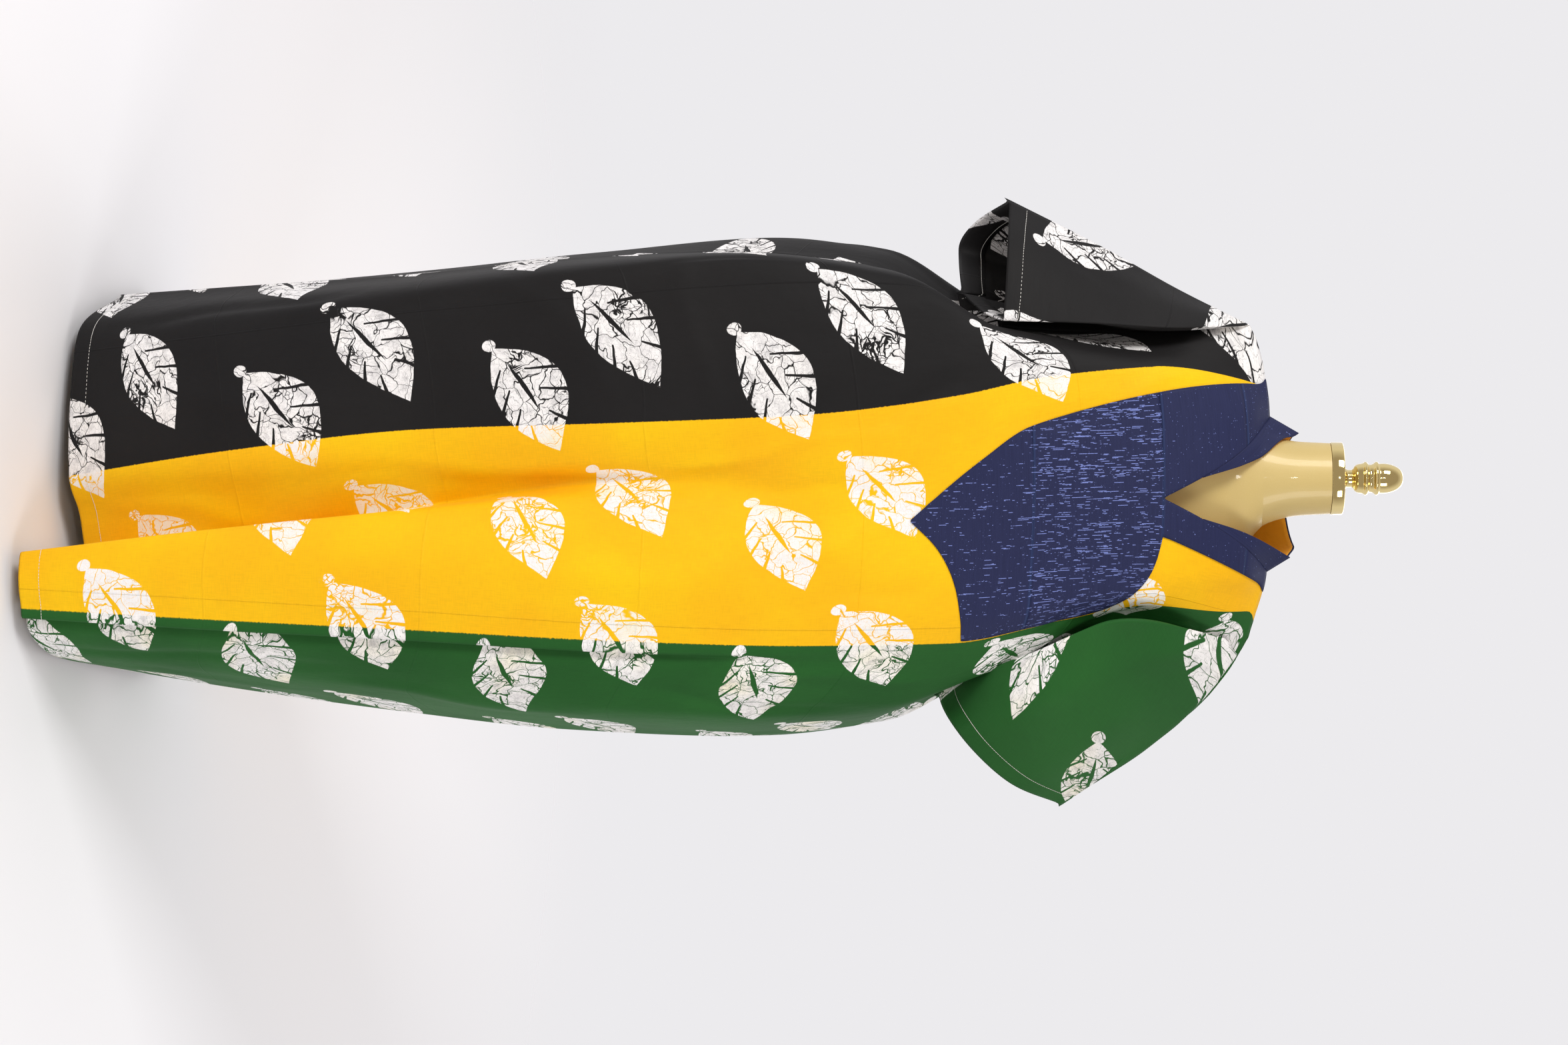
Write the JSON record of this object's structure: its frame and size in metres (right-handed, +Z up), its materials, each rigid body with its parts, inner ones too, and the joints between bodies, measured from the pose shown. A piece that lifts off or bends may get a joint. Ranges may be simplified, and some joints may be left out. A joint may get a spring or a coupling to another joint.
{
  "type": "grand boubou robe on a limbless dress form",
  "caption": "Wide straight-cut robe with short sleeves cut in one, a V neck, stand collar and woven-strip yoke, hung on a bust form with finial, pole and round base.",
  "frame": {"origin": "centre of the underside of the round base, on the floor", "axes": "+Z up along the pole; the robe's front faces -Y; +X is the wearer's left"},
  "size_m": [0.766, 0.5032, 1.6755],
  "materials": {
    "printed_cotton": "stiff plain-weave cotton dyed in three bands, with resist-printed leaves",
    "woven_strip": "narrow-strip weave with metallic blue threads",
    "facing_cotton": "plain-weave cotton",
    "form_shell": "pearl gold lacquer, satin",
    "gold_plate": "polished gold plate",
    "stand_metal": "polished"
  },
  "bodies": {
    "root": {"front": "printed_cotton", "back": "printed_cotton", "yoke_shoulder_right": "woven_strip", "yoke_shoulder_left": "woven_strip", "yoke_neck_right": "woven_strip", "yoke_neck_left": "woven_strip", "yoke_chest": "woven_strip", "yoke_point": "woven_strip", "collar": "woven_strip", "collar_facing": "facing_cotton", "form_torso": "form_shell", "neck_cap": "gold_plate", "finial": "gold_plate", "pole": "stand_metal", "base": "stand_metal"}
  },
  "joints": []
}
